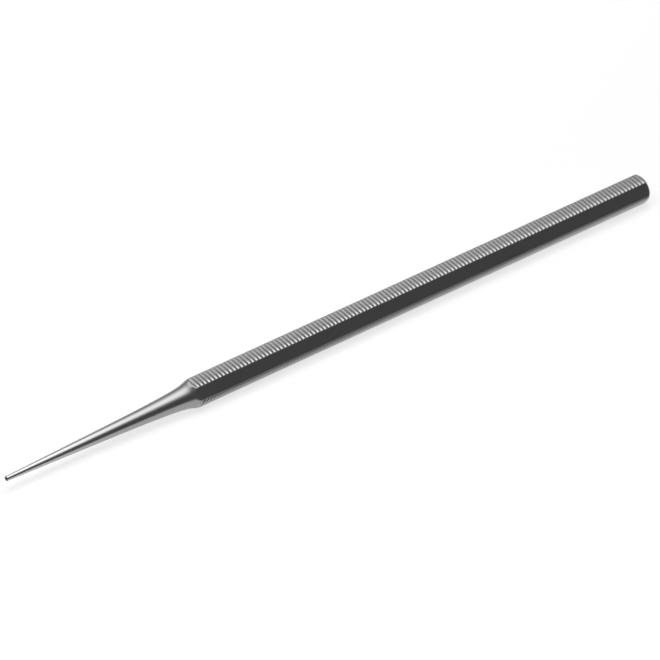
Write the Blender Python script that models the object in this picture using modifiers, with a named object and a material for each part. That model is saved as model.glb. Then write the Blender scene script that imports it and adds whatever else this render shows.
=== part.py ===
# Podiatry probe: a hexagonal, ridged handle that runs through a turned neck into a long, blunt point.
# The real one is turned and milled from a single bar of stainless steel, so it is one solid here.
#
# Lengths are in metres, +Z is up.  The probe lies on one flat of its handle with its axis along X,
# the point towards -X.  The origin is on the table, below the middle of the probe's length.

import math

import bmesh
import bpy
from mathutils import Matrix, Vector
from mathutils.geometry import interpolate_bezier

MM = 0.001

# The whole probe
OVERALL_LENGTH = 140.0 * MM

# The handle, a hexagonal bar
HANDLE_LENGTH = 99.9 * MM
ACROSS_FLATS = 5.0 * MM
CORNER_BREAK = 0.06 * MM        # how far each long corner is broken back along its two flats
END_CHAMFER = 0.6 * MM          # 45 degrees, turned on the corners of the handle's end

# The ridges, left standing between V-shaped grooves that run straight across a flat
RIDGE_PITCH = 0.788 * MM
GROOVE_WIDTH = 0.44 * MM
GROOVE_DEPTH = 0.14 * MM
FIRST_GROOVE = 1.1 * MM         # from the handle's end to the middle of the first groove
RIDGES_INTO_NECK = 1.3 * MM     # how far past the handle the last grooves nick the neck
RIDGED_FLATS = (0, 2, 3, 5)     # counted from the top flat round the front; 1 and 4 are smooth

# The working end: a slender cone, then a neck that sweeps up to the handle's corners
TIP_DIAMETER = 0.9 * MM
TIP_EDGE_RADIUS = 0.12 * MM
CONE_HALF_ANGLE = math.radians(2.0)
CONE_LENGTH = 20.0 * MM
NECK_PULL_AT_CONE = 20.0 * MM   # how long the neck keeps the cone's direction
NECK_PULL_AT_HANDLE = 2.7 * MM  # how long it keeps its direction at the handle
NECK_ANGLE_AT_HANDLE = math.radians(15.0)

# How finely the curves are divided
TURNED_STEPS = 48
NECK_STEPS = 14
TIP_EDGE_STEPS = 3

# How far a cutter stands clear of the steel that it doesn't touch
CUTTER_CLEARANCE = 0.05 * MM
CUTTER_OVERRUN = 1.0 * MM

AXIS_HEIGHT = ACROSS_FLATS / 2
CORNER_RADIUS = ACROSS_FLATS / (2 * math.cos(math.pi / 6))
FLAT_WIDTH = CORNER_RADIUS      # a hexagon's side equals its corner radius
TIP_X = -OVERALL_LENGTH / 2
END_X = OVERALL_LENGTH / 2
SHOULDER_X = END_X - HANDLE_LENGTH
RIDGED_LENGTH = HANDLE_LENGTH + RIDGES_INTO_NECK - FIRST_GROOVE


def remove_scene_objects():
    for old in list(bpy.data.objects):
        bpy.data.objects.remove(old, do_unlink=True)


def new_collection(name):
    collection = bpy.data.collections.new(name)
    bpy.context.scene.collection.children.link(collection)
    return collection


def new_object(name, shape, collection):
    mesh = bpy.data.meshes.new(name)
    shape.to_mesh(mesh)
    shape.free()
    made = bpy.data.objects.new(name, mesh)
    collection.objects.link(made)
    return made


def satin_steel():
    material = bpy.data.materials.new("satin_stainless_steel")
    material.use_nodes = True
    shader = material.node_tree.nodes["Principled BSDF"]
    shader.inputs["Base Color"].default_value = (0.52, 0.52, 0.51, 1.0)
    shader.inputs["Metallic"].default_value = 1.0
    shader.inputs["Roughness"].default_value = 0.3
    return material


def tip_outline():
    """The blunt end and its small rounded edge, from the start of the cone to the axis."""
    radius = TIP_DIAMETER / 2
    centre_x = TIP_X + TIP_EDGE_RADIUS
    centre_r = radius - TIP_EDGE_RADIUS
    points = []
    for step in range(TIP_EDGE_STEPS + 1):
        angle = math.radians(90.0 * step / TIP_EDGE_STEPS)
        x = centre_x - TIP_EDGE_RADIUS * math.sin(angle)
        r = centre_r + TIP_EDGE_RADIUS * math.cos(angle)
        points.append((x, r))
    points.append((TIP_X, 0.0))
    return points


def neck_outline():
    """One smooth curve from outside the handle's corners down to the end of the cone."""
    cone_x = TIP_X + CONE_LENGTH
    cone_r = TIP_DIAMETER / 2 + math.tan(CONE_HALF_ANGLE) * CONE_LENGTH
    cone_end = Vector((cone_x, cone_r))
    shoulder = Vector((SHOULDER_X, CORNER_RADIUS + CUTTER_CLEARANCE))
    along_cone = Vector((math.cos(CONE_HALF_ANGLE), math.sin(CONE_HALF_ANGLE)))
    along_shoulder = Vector((math.cos(NECK_ANGLE_AT_HANDLE), math.sin(NECK_ANGLE_AT_HANDLE)))
    return interpolate_bezier(
        shoulder,
        shoulder - along_shoulder * NECK_PULL_AT_HANDLE,
        cone_end + along_cone * NECK_PULL_AT_CONE,
        cone_end,
        NECK_STEPS + 1,
    )


def end_outline():
    """The chamfer turned on the handle's end.  It runs past the end, where the stock is cut off flat."""
    outside = CORNER_RADIUS + CUTTER_CLEARANCE
    beyond = END_X + CUTTER_CLEARANCE
    narrow = CORNER_RADIUS - END_CHAMFER - CUTTER_CLEARANCE
    return [(beyond, 0.0), (beyond, narrow), (beyond - (outside - narrow), outside)]


def turned_probe(collection):
    """The outline of the whole probe, turned about its axis.  Along the handle it is left round."""
    outline = end_outline() + [tuple(point[:2]) for point in neck_outline()] + tip_outline()
    shape = bmesh.new()
    corners = [shape.verts.new((x, r, 0.0)) for x, r in outline]
    for start, end in zip(corners, corners[1:]):
        shape.edges.new((start, end))
    probe = new_object("probe", shape, collection)
    probe.location.z = AXIS_HEIGHT
    turn = probe.modifiers.new("turn", "SCREW")
    turn.axis = "X"
    turn.steps = TURNED_STEPS
    turn.render_steps = TURNED_STEPS
    turn.use_merge_vertices = True
    turn.merge_threshold = 0.001 * MM
    turn.use_smooth_shade = True
    return probe


def hexagonal_bar(collection):
    """Hexagonal stock with its long corners broken.  It is cut off at the handle's end, but runs
    past the tip."""
    stock_length = OVERALL_LENGTH + CUTTER_OVERRUN
    shape = bmesh.new()
    bmesh.ops.create_cone(
        shape,
        cap_ends=True,
        segments=6,
        radius1=CORNER_RADIUS,
        radius2=CORNER_RADIUS,
        depth=stock_length,
    )
    bmesh.ops.rotate(shape, verts=shape.verts, matrix=Matrix.Rotation(math.pi / 2, 3, "Y"))
    bmesh.ops.translate(shape, verts=shape.verts, vec=(END_X - stock_length / 2, 0.0, 0.0))
    long_corners = [
        edge for edge in shape.edges
        if abs(edge.verts[0].co.x - edge.verts[1].co.x) > stock_length / 2
    ]
    bmesh.ops.bevel(
        shape,
        geom=long_corners,
        offset=CORNER_BREAK,
        offset_type="OFFSET",
        affect="EDGES",
        segments=1,
        profile=0.5,
        material=-1,
    )
    bar = new_object("hexagonal_stock", shape, collection)
    bar.location.z = AXIS_HEIGHT
    return bar


def groove_cutters(flat, collection):
    """A row of V-shaped cutters over one flat, one for each groove."""
    slope = GROOVE_WIDTH / 2 / GROOVE_DEPTH
    shoulder = GROOVE_WIDTH / 2 + slope * CUTTER_CLEARANCE
    surface = ACROSS_FLATS / 2
    section = [
        (0.0, surface - GROOVE_DEPTH),
        (shoulder, surface + CUTTER_CLEARANCE),
        (shoulder, surface + CUTTER_OVERRUN),
        (-shoulder, surface + CUTTER_OVERRUN),
        (-shoulder, surface + CUTTER_CLEARANCE),
    ]
    first_x = END_X - FIRST_GROOVE
    cutter_width = FLAT_WIDTH + 2 * GROOVE_DEPTH
    shape = bmesh.new()
    corners = [shape.verts.new((first_x + x, -cutter_width / 2, z)) for x, z in section]
    side = shape.faces.new(corners)
    swept = bmesh.ops.extrude_face_region(shape, geom=[side])
    far_side = [item for item in swept["geom"] if isinstance(item, bmesh.types.BMVert)]
    bmesh.ops.translate(shape, verts=far_side, vec=(0.0, cutter_width, 0.0))
    bmesh.ops.recalc_face_normals(shape, faces=shape.faces)
    row = new_object(f"groove_cutters_{flat}", shape, collection)
    row.location.z = AXIS_HEIGHT
    row.rotation_euler.x = flat * math.pi / 3
    repeat = row.modifiers.new("repeat", "ARRAY")
    repeat.count = 1 + round(RIDGED_LENGTH / RIDGE_PITCH)
    repeat.use_relative_offset = False
    repeat.use_constant_offset = True
    repeat.constant_offset_displace = (-RIDGE_PITCH, 0.0, 0.0)
    return row


def shape_with(target, cutter, operation):
    cutter.hide_render = True
    cutter.display_type = "WIRE"
    step = target.modifiers.new(cutter.name, "BOOLEAN")
    step.operation = operation
    step.solver = "EXACT"
    step.object = cutter


remove_scene_objects()
parts = new_collection("podiatry_probe")
cutters = new_collection("cutters")
probe = turned_probe(parts)
shape_with(probe, hexagonal_bar(cutters), "INTERSECT")
for flat in RIDGED_FLATS:
    shape_with(probe, groove_cutters(flat, cutters), "DIFFERENCE")
probe.data.materials.append(satin_steel())
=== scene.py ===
# %% [markdown]
# # A podiatry probe in satin stainless steel
#
# The real probe is one bar of steel. A mill cuts fine ridges across four of its six flats, and a
# lathe turns one end down to a slender, blunt point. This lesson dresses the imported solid: it
# makes a finer copy of the same shape, gives it its steel, and lights it as a product photograph
# is lit.

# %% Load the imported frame
import math

import bmesh
import bpy
from mathutils import Matrix, Vector
from mathutils.geometry import interpolate_bezier


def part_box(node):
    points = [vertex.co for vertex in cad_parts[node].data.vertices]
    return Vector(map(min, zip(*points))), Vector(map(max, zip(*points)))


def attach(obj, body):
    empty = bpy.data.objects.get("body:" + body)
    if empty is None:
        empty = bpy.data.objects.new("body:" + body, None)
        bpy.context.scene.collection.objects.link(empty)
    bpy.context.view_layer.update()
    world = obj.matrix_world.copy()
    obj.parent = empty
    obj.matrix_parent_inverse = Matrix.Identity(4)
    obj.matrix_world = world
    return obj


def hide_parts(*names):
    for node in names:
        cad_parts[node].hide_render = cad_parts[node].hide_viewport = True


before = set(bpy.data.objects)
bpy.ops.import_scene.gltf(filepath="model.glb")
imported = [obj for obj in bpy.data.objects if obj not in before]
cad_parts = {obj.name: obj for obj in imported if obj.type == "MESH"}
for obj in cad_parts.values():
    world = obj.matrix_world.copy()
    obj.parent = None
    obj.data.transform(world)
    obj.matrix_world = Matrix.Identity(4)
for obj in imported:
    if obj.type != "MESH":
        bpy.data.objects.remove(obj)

MM = 0.001

scene = bpy.context.scene
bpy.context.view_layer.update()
low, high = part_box("probe")
print("the packed probe measures", [round(side / MM, 2) for side in high - low], "mm")

# %% [markdown]
# ## The sizes that the finer shape needs
#
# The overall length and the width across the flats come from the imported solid, so the finer shape
# always fits it. The rest are the probe's own sizes, in metres. The turned outline is worked out
# as a lathe hand would set it: a straight cone, then a neck that sweeps up to the bar's corners.

# %% Sizes of the probe
QUARTER_TURN = math.pi / 2
SIXTH_TURN = math.pi / 3

TIP_X = low.x
END_X = high.x
ACROSS_FLATS = high.z - low.z
AXIS_Z = (high.z + low.z) / 2
FLAT = ACROSS_FLATS / 2             # from the axis to a flat
CORNER_RADIUS = FLAT / math.cos(math.pi / 6)
FLAT_WIDTH = CORNER_RADIUS          # a hexagon's side is as long as its corner radius

HANDLE_LENGTH = 99.9 * MM
SHOULDER_X = END_X - HANDLE_LENGTH
CORNER_ROUNDING = 0.12 * MM
END_CHAMFER = 0.6 * MM

RIDGE_PITCH = 0.788 * MM
GROOVE_DEPTH = 0.13 * MM
GROOVE_DEPTH_AT_END = 0.09 * MM
FULL_DEPTH_SHARE = 0.625            # of the handle's length, where the grooves are deepest
FIRST_GROOVE = 1.1 * MM
RIDGES_INTO_NECK = 1.3 * MM
RIDGED_FLATS = (0, 2, 3, 5)         # counted from the top flat round the front

TIP_RADIUS = 0.45 * MM
TIP_EDGE_RADIUS = 0.16 * MM
CONE_HALF_ANGLE = math.radians(2.0)
CONE_LENGTH = 20.0 * MM
NECK_PULL_AT_CONE = 20.0 * MM       # how long the neck keeps the cone's direction
NECK_PULL_AT_HANDLE = 2.7 * MM      # how long it keeps its direction at the handle
NECK_ANGLE_AT_HANDLE = math.radians(15.0)
NECK_CLEARANCE = 0.05 * MM          # how far the neck ends outside the bar's corners

print("across the flats", round(ACROSS_FLATS / MM, 3), "mm; the neck meets the handle at x",
      round(SHOULDER_X / MM, 1), "mm")

# %% [markdown]
# ## The bar's section
#
# The real handle is drawn hexagonal bar, and tumbling has rounded its long corners a little. A
# section is drawn first and swept afterwards: a hexagon is a circle with six sides, and a bevel
# rounds its corners. The section's face goes, since only its outline is swept. The sides of the
# ridged flats are cut in thirds, and the outer thirds once more and finely, because the ridges
# run out there, while a ridge is straight in the middle. The smooth flats need only a few cuts.

# %% Draw the section
CORNER_SEGMENTS = 3
CUTS_IN_THIRDS = 2
CUTS_NEAR_CORNERS = 4
CUTS_ON_SMOOTH_FLATS = 5
ON_FLAT = 0.01 * MM                 # what lies closer to a flat than this lies on it
NEAR_CORNER = 0.2 * MM


def outwards_from(flat):
    """The direction that a flat faces."""
    angle = flat * SIXTH_TURN
    return Vector((0.0, -math.sin(angle), math.cos(angle)))


def on_ridged_flat(edge):
    middle = (edge.verts[0].co + edge.verts[1].co) / 2
    return any(middle.dot(outwards_from(flat)) > FLAT - ON_FLAT for flat in RIDGED_FLATS)


def is_outer_third(edge):
    """Longer than a piece of a rounding, shorter than a whole side, and it reaches a corner."""
    reach = max(point.co.length for point in edge.verts)
    return (2 * CORNER_ROUNDING < edge.calc_length() < FLAT_WIDTH / 2
            and on_ridged_flat(edge) and reach > CORNER_RADIUS - NEAR_CORNER)


def draw_section(shape):
    hexagon = bmesh.ops.create_circle(shape, cap_ends=True, segments=6, radius=CORNER_RADIUS)
    bmesh.ops.rotate(shape, verts=hexagon["verts"], matrix=Matrix.Rotation(QUARTER_TURN, 3, "Y"))
    bmesh.ops.bevel(shape, geom=shape.verts[:], offset=CORNER_ROUNDING, offset_type="OFFSET",
                    affect="VERTICES", segments=CORNER_SEGMENTS, profile=0.5, material=-1)
    bmesh.ops.delete(shape, geom=shape.faces[:], context="FACES_ONLY")
    sides = [edge for edge in shape.edges if edge.calc_length() > FLAT_WIDTH / 2]
    smooth = [edge for edge in sides if not on_ridged_flat(edge)]
    ridged = [edge for edge in sides if on_ridged_flat(edge)]
    bmesh.ops.subdivide_edges(shape, edges=smooth, cuts=CUTS_ON_SMOOTH_FLATS)
    bmesh.ops.subdivide_edges(shape, edges=ridged, cuts=CUTS_IN_THIRDS)
    outer_thirds = [edge for edge in shape.edges if is_outer_third(edge)]
    bmesh.ops.subdivide_edges(shape, edges=outer_thirds, cuts=CUTS_NEAR_CORNERS)


trial = bmesh.new()
draw_section(trial)
print("the section has", len(trial.verts), "points and is",
      round(max(point.co.z for point in trial.verts) * 2 / MM, 3), "mm high")
trial.free()

# %% [markdown]
# ## Sweep the section along the probe
#
# Extruding the outline and slicing each new stretch into even steps gives a clean grid of faces,
# with no need to place a single point by hand. The ridged handle takes eight steps for each
# ridge. The neck and the cone curve little along their length, so wider steps do, and the blunt
# tip takes a few close ones for the small rounding of its edge.

# %% Sweep the bar
STEPS_PER_RIDGE = 8
RIDGE_STEP = RIDGE_PITCH / STEPS_PER_RIDGE
FINE_LENGTH = HANDLE_LENGTH + 2.5 * MM      # the fine steps run on past the last groove
NECK_STEP = 0.3 * MM
TIP_STEPS = 6


def sweep(shape, edges, distance, step):
    """Draws the ring of edges out along the axis and slices the new stretch into even steps."""
    made = bmesh.ops.extrude_edge_only(shape, edges=edges)["geom"]
    moved = [item for item in made if isinstance(item, bmesh.types.BMVert)]
    last_ring = [item for item in made if isinstance(item, bmesh.types.BMEdge)]
    bmesh.ops.translate(shape, verts=moved, vec=(-distance, 0, 0))
    lengthwise = {edge for point in moved for edge in point.link_edges} - set(last_ring)
    bmesh.ops.subdivide_edges(shape, edges=list(lengthwise), cuts=round(distance / step) - 1,
                              use_grid_fill=True)
    return [edge for edge in last_ring if edge.is_valid]


def sweep_bar(shape):
    draw_section(shape)
    bmesh.ops.translate(shape, verts=shape.verts[:], vec=(END_X, 0, 0))
    fine_length = math.ceil(FINE_LENGTH / RIDGE_STEP) * RIDGE_STEP
    ring = sweep(shape, shape.edges[:], fine_length, RIDGE_STEP)
    ring = sweep(shape, ring, END_X - fine_length - TIP_X - TIP_EDGE_RADIUS, NECK_STEP)
    sweep(shape, ring, TIP_EDGE_RADIUS, TIP_EDGE_RADIUS / TIP_STEPS)


print("a step is", round(RIDGE_STEP / MM, 4), "mm long on the handle and",
      round(NECK_STEP / MM, 2), "mm on the neck and cone")

# %% [markdown]
# ## Press the ridges
#
# The real ridges are left standing between grooves that a form cutter mills straight across a
# flat. Their crests are rounded and their grooves narrow, so the depth follows the sine of the
# place along the handle, flattened by a power below one. Near a smooth flat each ridge dips, where
# polishing has worn its end. Towards the corner between two ridged flats the grooves get
# shallower. The mesh already lies on the plain bar, so each point is only pushed in to the depth
# that the ridges have there. Beside a smooth flat it slides along that flat, which stays perfectly
# flat up to its edge that way.

# %% The ridges
CREST_FLATNESS = 0.6
EASING_WIDTH = 0.95 * MM            # how far from a smooth flat the ridges start to dip
EASING_DEPTH = 0.09 * MM            # how far they have dipped at the smooth flat
SHALLOW_SHARE = 0.45                # of the depth, at the corner between two ridged flats
PAST_FAR_CORNER = -0.1 * MM         # beyond this a point belongs to the next ridged flat
GROOVE_COUNT = 1 + round((HANDLE_LENGTH + RIDGES_INTO_NECK - FIRST_GROOVE) / RIDGE_PITCH)


def groove_depth(x):
    """How far the surface lies below the ridges' crests at this place along the handle."""
    groove = (END_X - FIRST_GROOVE - x) / RIDGE_PITCH
    if not -0.5 < groove < GROOVE_COUNT - 0.5:
        return 0.0
    share = min((END_X - x) / HANDLE_LENGTH / FULL_DEPTH_SHARE, 1.0)
    depth = GROOVE_DEPTH_AT_END + (GROOVE_DEPTH - GROOVE_DEPTH_AT_END) * share
    return depth * (1.0 - abs(math.sin(math.pi * groove)) ** CREST_FLATNESS)


def press_flat(shape, outwards, smooth, along_smooth, towards_smooth):
    """Presses the ridges of one flat, with its dipped ends beside the smooth flat."""
    for point in shape.verts:
        above = point.co.dot(outwards) - FLAT
        past_corner = point.co.dot(smooth) < PAST_FAR_CORNER
        if above < -GROOVE_DEPTH - EASING_DEPTH or past_corner:
            continue
        from_corner = max(0.0, FLAT_WIDTH / 2 - point.co.dot(towards_smooth))
        easing = EASING_DEPTH * max(0.0, 1.0 - from_corner / EASING_WIDTH) ** 2
        share = 1.0 - (1.0 - SHALLOW_SHARE) * min(from_corner / FLAT_WIDTH, 1.0)
        sunk = max(0.0, above + easing + share * groove_depth(point.co.x))
        point.co -= (outwards if from_corner > CORNER_ROUNDING else along_smooth) * sunk


def nick_next_flat(shape, outwards, smooth):
    """Lets the grooves of one ridged flat run out over the corner to the next."""
    for point in shape.verts:
        above = point.co.dot(outwards) - FLAT
        if point.co.dot(smooth) < PAST_FAR_CORNER and above > -GROOVE_DEPTH:
            point.co -= outwards * max(0.0, above + SHALLOW_SHARE * groove_depth(point.co.x))


def press_ridges(shape):
    for flat in RIDGED_FLATS:
        outwards = outwards_from(flat)
        smooth = outwards_from(flat + 1 if (flat + 1) % 6 not in RIDGED_FLATS else flat - 1)
        along_smooth = (outwards - smooth / 2) / math.sin(SIXTH_TURN) ** 2
        towards_smooth = (smooth - outwards / 2) / math.sin(SIXTH_TURN)
        press_flat(shape, outwards, smooth, along_smooth, towards_smooth)
        nick_next_flat(shape, outwards, smooth)


print("ridges are pressed between", GROOVE_COUNT, "grooves on each ridged flat")

# %% [markdown]
# ## Turn the neck, the cone and the ends
#
# The lathe takes away what stands outside the turned outline: a cone, then a neck that sweeps up
# to the bar's corners, drawn as one Bezier curve. In the mesh, every point that lies outside the
# outline is drawn straight in towards the axis. Where the outline is wider than the bar nothing
# moves, so the neck meets the flats in the same scallops that turning leaves on hexagonal steel.

# %% The turned outline
NECK_POINTS = 400
SAME_RING = 0.0001 * MM             # points this close along the axis share one radius


def neck_points():
    cone_radius = TIP_RADIUS + math.tan(CONE_HALF_ANGLE) * CONE_LENGTH
    cone_end = Vector((TIP_X + CONE_LENGTH, cone_radius))
    shoulder = Vector((SHOULDER_X, CORNER_RADIUS + NECK_CLEARANCE))
    along_cone = Vector((math.cos(CONE_HALF_ANGLE), math.sin(CONE_HALF_ANGLE)))
    along_shoulder = Vector((math.cos(NECK_ANGLE_AT_HANDLE), math.sin(NECK_ANGLE_AT_HANDLE)))
    return interpolate_bezier(cone_end, cone_end + along_cone * NECK_PULL_AT_CONE,
                              shoulder - along_shoulder * NECK_PULL_AT_HANDLE, shoulder,
                              NECK_POINTS)


NECK = neck_points()


def neck_radius(x):
    """The radius between the two points of the neck's curve that lie around this place."""
    index = max(next(i for i, point in enumerate(NECK) if point.x >= x), 1)
    before, after = NECK[index - 1], NECK[index]
    share = (x - before.x) / (after.x - before.x)
    return before.y + (after.y - before.y) * share


def turned_radius(x):
    """The radius of the turned outline at this place along the probe."""
    from_end = END_X - x
    if from_end < END_CHAMFER:
        return CORNER_RADIUS - END_CHAMFER + from_end
    if x > SHOULDER_X:
        return CORNER_RADIUS
    if x > TIP_X + CONE_LENGTH:
        return neck_radius(x)
    radius = TIP_RADIUS + math.tan(CONE_HALF_ANGLE) * (x - TIP_X)
    into_edge = TIP_EDGE_RADIUS - (x - TIP_X)
    if into_edge > 0:
        radius -= TIP_EDGE_RADIUS - math.sqrt(max(TIP_EDGE_RADIUS ** 2 - into_edge ** 2, 0.0))
    return radius


def turn_on_lathe(shape):
    radius_at = {}
    for point in shape.verts:
        ring = round(point.co.x / SAME_RING)
        if ring not in radius_at:
            radius_at[ring] = turned_radius(point.co.x)
        distance = math.hypot(point.co.y, point.co.z)
        if distance > radius_at[ring]:
            point.co.y *= radius_at[ring] / distance
            point.co.z *= radius_at[ring] / distance


print("the neck widens from", round(NECK[0].y * 2 / MM, 2), "to", round(NECK[-1].y * 2 / MM, 2),
      "mm across")

# %% [markdown]
# ## Put the probe together
#
# The open ends are closed with a flat face each. The rims of the end faces stay sharp, and
# everything gentler is shaded smooth. A weighted-normal modifier then lets the large faces decide
# how the light falls, so the flats shade flat right up to their narrow roundings.

# %% Build the probe
SHARP_ANGLE = math.radians(38.0)


def build_probe():
    shape = bmesh.new()
    sweep_bar(shape)
    press_ridges(shape)
    turn_on_lathe(shape)
    rims = [edge for edge in shape.edges if edge.is_boundary]
    bmesh.ops.holes_fill(shape, edges=rims, sides=0)
    bmesh.ops.translate(shape, verts=shape.verts[:], vec=(0, 0, AXIS_Z))
    bmesh.ops.recalc_face_normals(shape, faces=shape.faces[:])
    mesh = bpy.data.meshes.new("probe_steel")
    shape.to_mesh(mesh)
    shape.free()
    mesh.shade_smooth()
    mesh.set_sharp_from_angle(angle=SHARP_ANGLE)
    probe = bpy.data.objects.new("probe_steel", mesh)
    scene.collection.objects.link(probe)
    shading = probe.modifiers.new("flats shade flat", "WEIGHTED_NORMAL")
    shading.mode = "FACE_AREA"
    shading.keep_sharp = True
    return probe


probe = build_probe()
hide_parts("probe")
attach(probe, "root")
triangles = sum(len(face.vertices) - 2 for face in probe.data.polygons)
print("the finer probe has", triangles, "triangles")

# %% [markdown]
# ## Colours and nodes
#
# Colours are picked as the hex values that a screen shows. Blender's shaders work in linear light,
# so one function turns them. Another adds a shader node and fills its inputs, each with a plain
# value or with a link. Four short ones built on it do sums, fade one value into another, and mix
# two colours or two numbers.

# %% Helpers for colours and nodes
WHITE = (1.0, 1.0, 1.0, 1.0)


def linear(hex_colour):
    """The linear colour of a hex value, by the curve that screens follow."""
    channels = [int(hex_colour[i:i + 2], 16) / 255 for i in (1, 3, 5)]
    return [c / 12.92 if c <= 0.04045 else ((c + 0.055) / 1.055) ** 2.4 for c in channels] + [1.0]


def add_node(tree, kind, inputs=None, **settings):
    """Adds a node. An input is given a plain value, or the output that feeds it."""
    node = tree.nodes.new(kind)
    for name, value in settings.items():
        setattr(node, name, value)
    for name, value in (inputs or {}).items():
        if isinstance(value, bpy.types.NodeSocket):
            tree.links.new(value, node.inputs[name])
        else:
            node.inputs[name].default_value = value
    return node


def maths(tree, operation, first, second=0.0):
    return add_node(tree, "ShaderNodeMath", {0: first, 1: second}, operation=operation).outputs[0]


def ramp(tree, value, low_end, high_end, low_value=0.0, high_value=1.0):
    """Fades softly from low_value to high_value as value goes from low_end to high_end."""
    inputs = {"Value": value, "From Min": low_end, "From Max": high_end,
              "To Min": low_value, "To Max": high_value}
    return add_node(tree, "ShaderNodeMapRange", inputs, interpolation_type="SMOOTHSTEP").outputs[0]


def mix_colours(tree, share, first, second):
    inputs = {0: share, 6: first, 7: second}
    return add_node(tree, "ShaderNodeMix", inputs, data_type="RGBA").outputs[2]


def mix_numbers(tree, share, first, second):
    return add_node(tree, "ShaderNodeMix", {0: share, 2: first, 3: second}).outputs[0]


def new_material(name):
    material = bpy.data.materials.new(name)
    material.use_nodes = True
    return material


print("the hex colour #808080 is", round(linear("#808080")[0], 3), "in linear light")

# %% [markdown]
# ## Find the place on the steel
#
# Each tool leaves its own skin on the real steel, so the material has to know where it is. The
# place in the object's own coordinates says how far a spot lies from the axis in the direction of
# each pair of flats. A spot that reaches the full half-width that way lies on a flat, and one that
# falls short by some hundredths of a millimetre lies in a groove. The same places also carry
# painted light and shade: darker grooves, lighter ridge ends, a lighter cone towards the tip, a
# dark tip end and a separately painted underside.

# %% Distances and regions
# Where one skin or painted mark fades into the next. The first four are depths below the level of a
# flat.
SMOOTH_FLAT_EDGE = (0.08 * MM, 0.02 * MM)
# How far in from a smooth flat the ridges' ends are painted lighter, as a painted highlight.
CREST_END_EDGE = (0.8 * MM, 0.2 * MM)
GROOVE_EDGE = (0.02 * MM, 0.06 * MM)
GROOVE_EDGE_BELOW = (0.008 * MM, 0.03 * MM)
TURNED_EDGE = (0.3 * MM, -0.5 * MM)         # from the shoulder
END_FACE_EDGE = (0.03 * MM, 0.01 * MM)      # from the handle's end
CHAMFER_EDGE = 0.1 * MM                     # past the chamfer
UNDERSIDE_EDGE = 0.08 * MM                  # below the axis
CUT_END_SHARE = 0.3                         # of the tip's rounded edge
# From here to the tip the polished cone's colour is painted lighter, a painted highlight.
PAINTED_LIGHT_FROM_X = SHOULDER_X - 8.0 * MM      # from here the polished cone brightens to the tip
EASING_REACH = EASING_WIDTH * math.sin(SIXTH_TURN)


def measure_place(tree):
    """The place along the axis, the height over it, and how far out it is towards the flats."""
    place = add_node(tree, "ShaderNodeTexCoord").outputs["Object"]
    x, y, z = add_node(tree, "ShaderNodeSeparateXYZ", {"Vector": place}).outputs
    height = maths(tree, "SUBTRACT", z, AXIS_Z)
    sideways = maths(tree, "MULTIPLY", y, math.sin(SIXTH_TURN))
    upwards = maths(tree, "MULTIPLY", height, math.cos(SIXTH_TURN))
    to_smooth_flats = maths(tree, "ABSOLUTE", maths(tree, "SUBTRACT", upwards, sideways))
    to_slanted_flats = maths(tree, "ABSOLUTE", maths(tree, "ADD", upwards, sideways))
    to_level_flats = maths(tree, "ABSOLUTE", height)
    to_ridged_flats = maths(tree, "MAXIMUM", to_level_flats, to_slanted_flats)
    return x, height, to_smooth_flats, to_ridged_flats


def crest_level(tree, to_smooth_flats, to_ridged_flats):
    """How high a spot lies among the ridges, with their dip beside a smooth flat made good."""
    share = maths(tree, "SUBTRACT", to_smooth_flats, FLAT - EASING_REACH)
    share = maths(tree, "MAXIMUM", share, 0.0)
    share = maths(tree, "DIVIDE", share, EASING_REACH)
    easing = maths(tree, "MULTIPLY", maths(tree, "MULTIPLY", share, share), EASING_DEPTH)
    return maths(tree, "ADD", to_ridged_flats, easing)


def flat_depth(tree, level, edge):
    """Fades from 0 to 1 between two depths below the level of a flat."""
    return ramp(tree, level, FLAT - edge[0], FLAT - edge[1])


def steel_regions(tree):
    """A share from 0 to 1 for each kind of place on the steel."""
    x, height, to_smooth_flats, to_ridged_flats = measure_place(tree)
    smooth_flats = flat_depth(tree, to_smooth_flats, SMOOTH_FLAT_EDGE)
    turned = ramp(tree, x, SHOULDER_X + TURNED_EDGE[0], SHOULDER_X + TURNED_EDGE[1])
    end_face = ramp(tree, x, END_X - END_FACE_EDGE[0], END_X - END_FACE_EDGE[1])
    machined = maths(tree, "MAXIMUM", smooth_flats, maths(tree, "MAXIMUM", turned, end_face))
    chamfer_x = END_X - END_CHAMFER
    before_chamfer = ramp(tree, x, chamfer_x, chamfer_x - CHAMFER_EDGE)
    # Below the axis the steel takes its own painted copy of light and shade.
    below_axis = ramp(tree, height, 0.0, -UNDERSIDE_EDGE)
    below = maths(tree, "MULTIPLY", below_axis, before_chamfer)
    level = crest_level(tree, to_smooth_flats, to_ridged_flats)
    sunk = mix_numbers(tree, below, flat_depth(tree, level, GROOVE_EDGE),
                       flat_depth(tree, level, GROOVE_EDGE_BELOW))
    return {
        "machined": machined,
        "below": below,
        "crest_ends": flat_depth(tree, to_smooth_flats, CREST_END_EDGE),
        "painted_groove_shade": maths(tree, "MULTIPLY", sunk, maths(tree, "SUBTRACT", 1.0, machined)),
        "painted_light_towards_tip": ramp(tree, x, PAINTED_LIGHT_FROM_X, TIP_X),
        "cut_end": ramp(tree, x, TIP_X + TIP_EDGE_RADIUS,
                        TIP_X + CUT_END_SHARE * TIP_EDGE_RADIUS),
    }


print("the ridges' painted bright ends reach", round(CREST_END_EDGE[0] / math.sin(SIXTH_TURN) / MM, 2),
      "mm in from a smooth flat")
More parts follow.
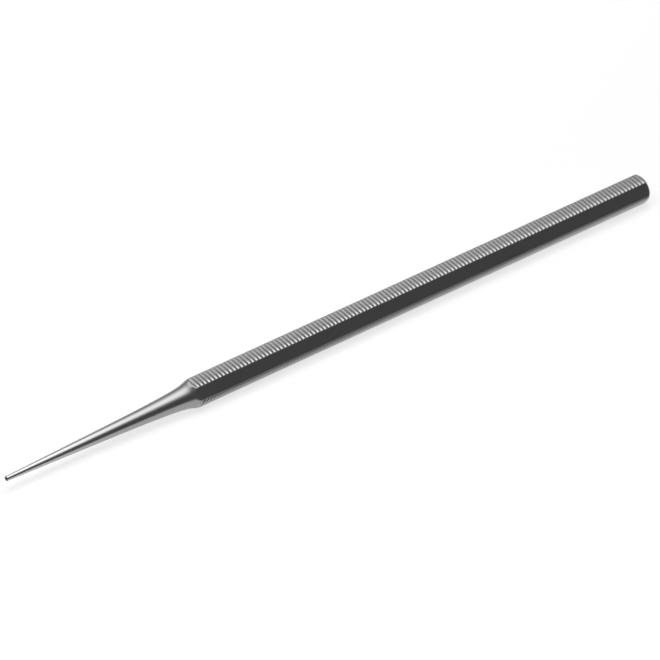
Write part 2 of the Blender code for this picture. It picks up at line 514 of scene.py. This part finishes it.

# %% [markdown]
# ## The steel
#
# The whole probe is one stainless steel. The smooth flats are ground, and the neck and the cone
# turned and polished, so they mirror the studio softly; the cone's colour is painted lighter
# towards the tip, a painted highlight. The crests of the ridges are blasted matte, and their ends
# are a little less rough and painted lighter, a painted highlight that shows as a row of bright
# dots. The groove floors are painted darker, as painted shade. The end of the tip, where the point
# is cut off, is rougher, and its colour is painted dark, as painted shade. A blasted grain is some
# hundredths of a millimetre wide, far below a pixel here, so the roughness alone carries it, and no
# pattern is drawn.
#
# The flats that face down are seen at a slant, where any metal turns bright. Below the axis the
# steel is a separately painted copy: lighter crests, darker ridge ends, grooves painted near black
# and a dimmed edge tint, painted light and shade that keep the hatching in sight there.

# %% Satin stainless steel
POLISHED = "#979797"
# Painted highlight: the polished colour is painted lighter towards the tip.
POLISHED_TIP_PAINTED_LIGHTER = "#B2B2B2"
MATTE_CREST = "#979797"
# Painted highlight: the ridges' ends are painted lighter, so they show as bright dots.
CREST_END_PAINTED_HIGHLIGHT = "#AEAEAE"
# Painted shade: the groove floors are painted darker than the crests.
GROOVE_PAINTED_SHADE = "#707070"
# Below the axis: crests painted lighter, ridge ends and grooves painted darker, as painted light
# and shade.
CREST_BELOW_PAINTED_LIGHTER = "#D6D6D6"
CREST_END_BELOW_PAINTED_SHADE = "#6C6C6C"
GROOVE_BELOW_PAINTED_SHADE = "#141414"
# Painted shade: the tip's cut end is painted dark, on top of its rougher finish.
CUT_END_PAINTED_DARK = "#484848"

POLISHED_ROUGHNESS = 0.27
MATTE_ROUGHNESS = 0.40
CREST_END_ROUGHNESS = 0.33
CUT_END_ROUGHNESS = 0.5

# Edge tints dimmed on the underside as painted shade.
CREST_END_BELOW_SHADE_TINT = "#D0D0D0"
GROOVE_BELOW_SHADE_TINT = "#B0B0B0"


def steel_colour(tree, at):
    # The cone is painted lighter towards the tip, as a painted highlight.
    polished = mix_colours(tree, at["painted_light_towards_tip"], linear(POLISHED), linear(POLISHED_TIP_PAINTED_LIGHTER))
    crests = mix_colours(tree, at["below"], linear(MATTE_CREST), linear(CREST_BELOW_PAINTED_LIGHTER))
    ends = mix_colours(tree, at["below"], linear(CREST_END_PAINTED_HIGHLIGHT), linear(CREST_END_BELOW_PAINTED_SHADE))
    grooves = mix_colours(tree, at["below"], linear(GROOVE_PAINTED_SHADE), linear(GROOVE_BELOW_PAINTED_SHADE))
    # The ridges' ends are painted lighter, as painted highlights.
    colour = mix_colours(tree, at["crest_ends"], crests, ends)
    colour = mix_colours(tree, at["machined"], colour, polished)
    # The grooves are painted darker, as painted shade.
    colour = mix_colours(tree, at["painted_groove_shade"], colour, grooves)
    # The tip's cut end is painted dark, as painted shade.
    return mix_colours(tree, at["cut_end"], colour, linear(CUT_END_PAINTED_DARK))


def steel_edge_tint(tree, at):
    """The tint that the steel takes on when it is seen at a slant: white, but dimmed as painted
    shade on the underside's ridge ends and grooves.
    """
    crest_ends_below = maths(tree, "MULTIPLY", at["below"], at["crest_ends"])
    groove_shade_below = maths(tree, "MULTIPLY", at["below"], at["painted_groove_shade"])
    tint = mix_colours(tree, crest_ends_below, WHITE, linear(CREST_END_BELOW_SHADE_TINT))
    return mix_colours(tree, groove_shade_below, tint, linear(GROOVE_BELOW_SHADE_TINT))


def steel_roughness(tree, at):
    roughness = mix_numbers(tree, at["crest_ends"], MATTE_ROUGHNESS, CREST_END_ROUGHNESS)
    roughness = mix_numbers(tree, at["machined"], roughness, POLISHED_ROUGHNESS)
    return mix_numbers(tree, at["cut_end"], roughness, CUT_END_ROUGHNESS)


def satin_stainless_steel():
    material = new_material("satin_stainless_steel")
    tree = material.node_tree
    shader = tree.nodes["Principled BSDF"]
    at = steel_regions(tree)
    tree.links.new(steel_colour(tree, at), shader.inputs["Base Color"])
    tree.links.new(steel_edge_tint(tree, at), shader.inputs["Specular Tint"])
    tree.links.new(steel_roughness(tree, at), shader.inputs["Roughness"])
    shader.inputs["Metallic"].default_value = 1.0
    return material


steel = satin_stainless_steel()
probe.data.materials.append(steel)
print("the steel takes", len(steel.node_tree.nodes), "nodes")

# %% [markdown]
# ## The table
#
# The probe lies on a matte white card. Seen by the camera, or mirrored in metal or glass, the card
# glows a little, which lifts it to a clean white while the probe's soft shadow stays. The lamps
# reach it less in front of the probe and behind it, so the glow grows with the distance.

# %% The white table
TABLE_SIZE = 6.0
TABLE_COLOUR = "#F4F4F4"
GLOW_BY_PROBE = 0.185
GLOW_AWAY = 0.345
GLOW_DISTANCE = 0.13


def table_glow(tree):
    """A faint glow by the probe, stronger in front of it and behind."""
    place = add_node(tree, "ShaderNodeTexCoord").outputs["Object"]
    _, y, _ = add_node(tree, "ShaderNodeSeparateXYZ", {"Vector": place}).outputs
    away = maths(tree, "ABSOLUTE", y)
    return ramp(tree, away, 0.0, GLOW_DISTANCE, GLOW_BY_PROBE, GLOW_AWAY)


def matte_white_card():
    material = new_material("matte_white_card")
    tree = material.node_tree
    tree.nodes.clear()
    path = add_node(tree, "ShaderNodeLightPath")
    seen = maths(tree, "MAXIMUM", path.outputs["Is Camera Ray"], path.outputs["Is Glossy Ray"])
    seen = maths(tree, "MAXIMUM", seen, path.outputs["Is Transmission Ray"])
    card = add_node(tree, "ShaderNodeBsdfDiffuse", {"Color": linear(TABLE_COLOUR)})
    glow = add_node(tree, "ShaderNodeEmission",
                    {"Color": WHITE, "Strength": maths(tree, "MULTIPLY", seen, table_glow(tree))})
    both = add_node(tree, "ShaderNodeAddShader", {0: card.outputs[0], 1: glow.outputs[0]})
    add_node(tree, "ShaderNodeOutputMaterial", {"Surface": both.outputs[0]})
    return material


def link_sheet(name, shape, material):
    """Makes an object of the flat shape and stands it beside the probe as stage."""
    mesh = bpy.data.meshes.new(name)
    shape.to_mesh(mesh)
    shape.free()
    mesh.materials.append(material)
    sheet = bpy.data.objects.new(name, mesh)
    scene.collection.objects.link(sheet)
    return sheet


def new_sheet(name, width, depth, place, material):
    shape = bmesh.new()
    bmesh.ops.create_grid(shape, x_segments=1, y_segments=1, size=0.5)
    bmesh.ops.scale(shape, verts=shape.verts[:], vec=(width, depth, 1))
    sheet = link_sheet(name, shape, material)
    sheet.matrix_world = place
    return sheet


on_table = Matrix.Translation((0, 0, low.z))
new_sheet("table", TABLE_SIZE, TABLE_SIZE, on_table, matte_white_card())
print("the table lies at z", round(low.z / MM, 3), "mm, under the probe's lowest flat")

# %% [markdown]
# ## The lamps
#
# A wide lamp overhead makes the soft shadow, and a weak one in front lifts the steel that faces
# the camera. Neither shows in the steel, which has its own surroundings to mirror. The first
# one's power is worked out from how bright its face is, and the second one's from how bright it
# makes a white card.

# %% The lamps
KEY_LAMP = {"middle": (0.0, 0.05, 0.5), "sides": (0.7, 0.35), "radiance": 1.0}
FRONT_LAMP = {"toward": (-0.10, -0.67, 0.74), "distance": 1.0, "side": 0.15, "level": 0.48}


def facing(middle, toward, distance):
    """A place that far from middle in the direction toward, turned to face it."""
    direction = Vector(toward).normalized()
    turn = direction.to_track_quat("Z", "Y").to_matrix().to_4x4()
    return Matrix.Translation(Vector(middle) + direction * distance) @ turn


def add_lamp(name, place, sides, power):
    lamp = bpy.data.lights.new(name, "AREA")
    lamp.shape = "RECTANGLE"
    lamp.size, lamp.size_y = sides
    lamp.energy = power
    box = bpy.data.objects.new(name, lamp)
    box.matrix_world = place
    box.visible_glossy = False
    scene.collection.objects.link(box)
    return box


def add_key_lamp():
    width, depth = KEY_LAMP["sides"]
    power = KEY_LAMP["radiance"] * math.pi * width * depth
    add_lamp("key_lamp", Matrix.Translation(KEY_LAMP["middle"]), (width, depth), power)


def add_front_lamp():
    """It casts no shadow, so the key lamp's soft one stays alone."""
    toward, distance, side = FRONT_LAMP["toward"], FRONT_LAMP["distance"], FRONT_LAMP["side"]
    slant = toward[2]
    power = FRONT_LAMP["level"] * (math.pi * distance) ** 2 / slant
    lamp = add_lamp("front_lamp", facing((0, 0, 0), toward, distance), (side, side), power)
    lamp.data.use_shadow = False


add_key_lamp()
add_front_lamp()

# %% [markdown]
# ## What the steel mirrors
#
# Polished steel shows its surroundings, so the surroundings draw its form. A softbox over the
# probe, bright in the middle and dim towards its rim, gives the neck its long highlight. A white
# backdrop stands behind, and black cards lean in front, which turn the front flat dark and set the
# highlight off. All of them show in the steel's reflection alone. The softbox's object stays at
# the origin, so that its glow can be written in the scene's own coordinates.

# %% The softbox and the cards
WORLD_LEVEL = 0.22
BLACK_CARD_LEVEL = 0.135
BACKDROP_LEVEL = 0.5
CARD_CLEARANCE = 0.3 * MM           # how far over the table a card's lower edge stands

FRONT_CARD = {"width": 2.4, "length": 0.8, "near_edge": -17 * MM, "lean": math.radians(48.0)}
HANDLE_CARD = {"width": 1.2, "length": 0.3, "near_edge": -8 * MM, "lean": math.radians(40.0),
               "middle_x": 0.575}
BACKDROP = {"width": 2.4, "length": 0.6, "near_edge": 0.5, "lean": QUARTER_TURN}

SOFTBOX_HEIGHT = 0.35
SOFTBOX_ALONG = (-0.3, 0.55)        # from its left edge to its right one
SOFTBOX_ACROSS = (-0.33, 0.49)      # from its front edge to its back one
SOFTBOX_PEAK = 2.9
SOFTBOX_DIM = 0.2

# Where the softbox's glow fades in, along x or y
DIM_TO_BACKDROP = (-0.10, 0.10)
PEAK_FROM_FRONT = (-0.30, -0.01)
PEAK_FROM_BACK = (0.48, 0.13)
PEAK_FROM_LEFT = (-0.10, 0.03)
PEAK_FROM_RIGHT = (0.27, 0.16)


def glowing(name, level):
    """An even glow, or one that a function works out from the place."""
    material = new_material(name)
    tree = material.node_tree
    tree.nodes.clear()
    strength = level(tree) if callable(level) else level
    card = add_node(tree, "ShaderNodeEmission", {"Strength": strength})
    add_node(tree, "ShaderNodeOutputMaterial", {"Surface": card.outputs[0]})
    return material


def softbox_glow(tree):
    """Bright in its middle, it fades to the backdrop's level behind and to dim in front."""
    place = add_node(tree, "ShaderNodeTexCoord").outputs["Object"]
    x, y, _ = add_node(tree, "ShaderNodeSeparateXYZ", {"Vector": place}).outputs
    base = ramp(tree, y, *DIM_TO_BACKDROP, SOFTBOX_DIM, BACKDROP_LEVEL)
    across = maths(tree, "MULTIPLY",
                   ramp(tree, y, *PEAK_FROM_FRONT), ramp(tree, y, *PEAK_FROM_BACK))
    along = maths(tree, "MULTIPLY",
                  ramp(tree, x, *PEAK_FROM_LEFT), ramp(tree, x, *PEAK_FROM_RIGHT))
    middle = maths(tree, "MULTIPLY", across, along)
    extra = maths(tree, "MULTIPLY", middle, SOFTBOX_PEAK - BACKDROP_LEVEL)
    return maths(tree, "ADD", base, extra)


def only_in_steel(card):
    """The card shows in the steel's reflection alone: it lights nothing and casts no shadow."""
    for kind in ("visible_camera", "visible_diffuse", "visible_shadow", "visible_transmission"):
        setattr(card, kind, False)


def add_card(name, material, width, length, near_edge, lean, middle_x=0.0):
    """A card that rises from a line on the table, that far in front of or behind the probe."""
    side = math.copysign(1.0, near_edge)
    foot = Matrix.Translation((middle_x, near_edge, low.z + CARD_CLEARANCE))
    turn = Matrix.Rotation(lean * side, 4, "X")
    up_the_card = Matrix.Translation((0, side * length / 2, 0))
    only_in_steel(new_sheet(name, width, length, foot @ turn @ up_the_card, material))


def add_softbox():
    left, right = SOFTBOX_ALONG
    front, back = SOFTBOX_ACROSS
    shape = bmesh.new()
    bmesh.ops.create_grid(shape, x_segments=1, y_segments=1, size=0.5)
    bmesh.ops.scale(shape, verts=shape.verts[:], vec=(right - left, back - front, 1))
    bmesh.ops.translate(shape, verts=shape.verts[:],
                        vec=((left + right) / 2, (front + back) / 2, SOFTBOX_HEIGHT))
    only_in_steel(link_sheet("softbox", shape, glowing("softbox_cloth", softbox_glow)))


def studio_world():
    world = bpy.data.worlds.new("studio")
    world.use_nodes = True
    background = world.node_tree.nodes["Background"]
    background.inputs["Color"].default_value = WHITE
    background.inputs["Strength"].default_value = WORLD_LEVEL
    scene.world = world


black_card = glowing("matte_black_card", BLACK_CARD_LEVEL)
add_card("front_card", black_card, **FRONT_CARD)
add_card("handle_card", black_card, **HANDLE_CARD)
add_card("backdrop", glowing("white_backdrop_paper", BACKDROP_LEVEL), **BACKDROP)
add_softbox()
studio_world()
cards = [item.name for item in scene.objects if item.type == "MESH" and not item.visible_camera]
print("seen in the steel alone:", ", ".join(cards))

# %% [markdown]
# ## The camera
#
# A long lens, well back, as for product pictures. It looks down at 40 degrees, from 36 degrees to
# the left of square on. The camera is placed by where the middle of the handle's end lies in the
# picture, so its distance and angles can be changed while the end stays in its place.

# %% The camera
PICTURE_SIZE = 660
FOCAL_LENGTH_PX = 6848.4
END_IN_PICTURE = (642.31, 187.67)
CAMERA_DISTANCE = 1.2570
CAMERA_AZIMUTH = math.radians(-35.57)
CAMERA_ELEVATION = math.radians(39.78)
SENSOR_WIDTH_MM = 36.0
CLIP_START = 0.01


def add_camera():
    azimuth, elevation = CAMERA_AZIMUTH, CAMERA_ELEVATION
    back = Vector((math.sin(azimuth) * math.cos(elevation),
                   -math.cos(azimuth) * math.cos(elevation), math.sin(elevation)))
    right = Vector((math.cos(azimuth), math.sin(azimuth), 0.0))
    up = back.cross(right)
    metres_per_pixel = CAMERA_DISTANCE / FOCAL_LENGTH_PX
    half = PICTURE_SIZE / 2
    place = Vector((END_X, 0.0, AXIS_Z)) + back * CAMERA_DISTANCE
    place -= right * (END_IN_PICTURE[0] - half) * metres_per_pixel
    place += up * (END_IN_PICTURE[1] - half) * metres_per_pixel
    turn = Matrix((right, up, back)).transposed().to_4x4()
    camera = bpy.data.objects.new("camera", bpy.data.cameras.new("camera"))
    camera.data.sensor_width = SENSOR_WIDTH_MM
    camera.data.lens = SENSOR_WIDTH_MM * FOCAL_LENGTH_PX / PICTURE_SIZE
    camera.data.clip_start = CLIP_START
    camera.matrix_world = Matrix.Translation(place) @ turn
    scene.collection.objects.link(camera)
    scene.camera = camera


add_camera()
scene.view_settings.view_transform = "Standard"
print("the lens is", round(scene.camera.data.lens), "mm long, and the camera stands",
      round(CAMERA_DISTANCE, 2), "m away")
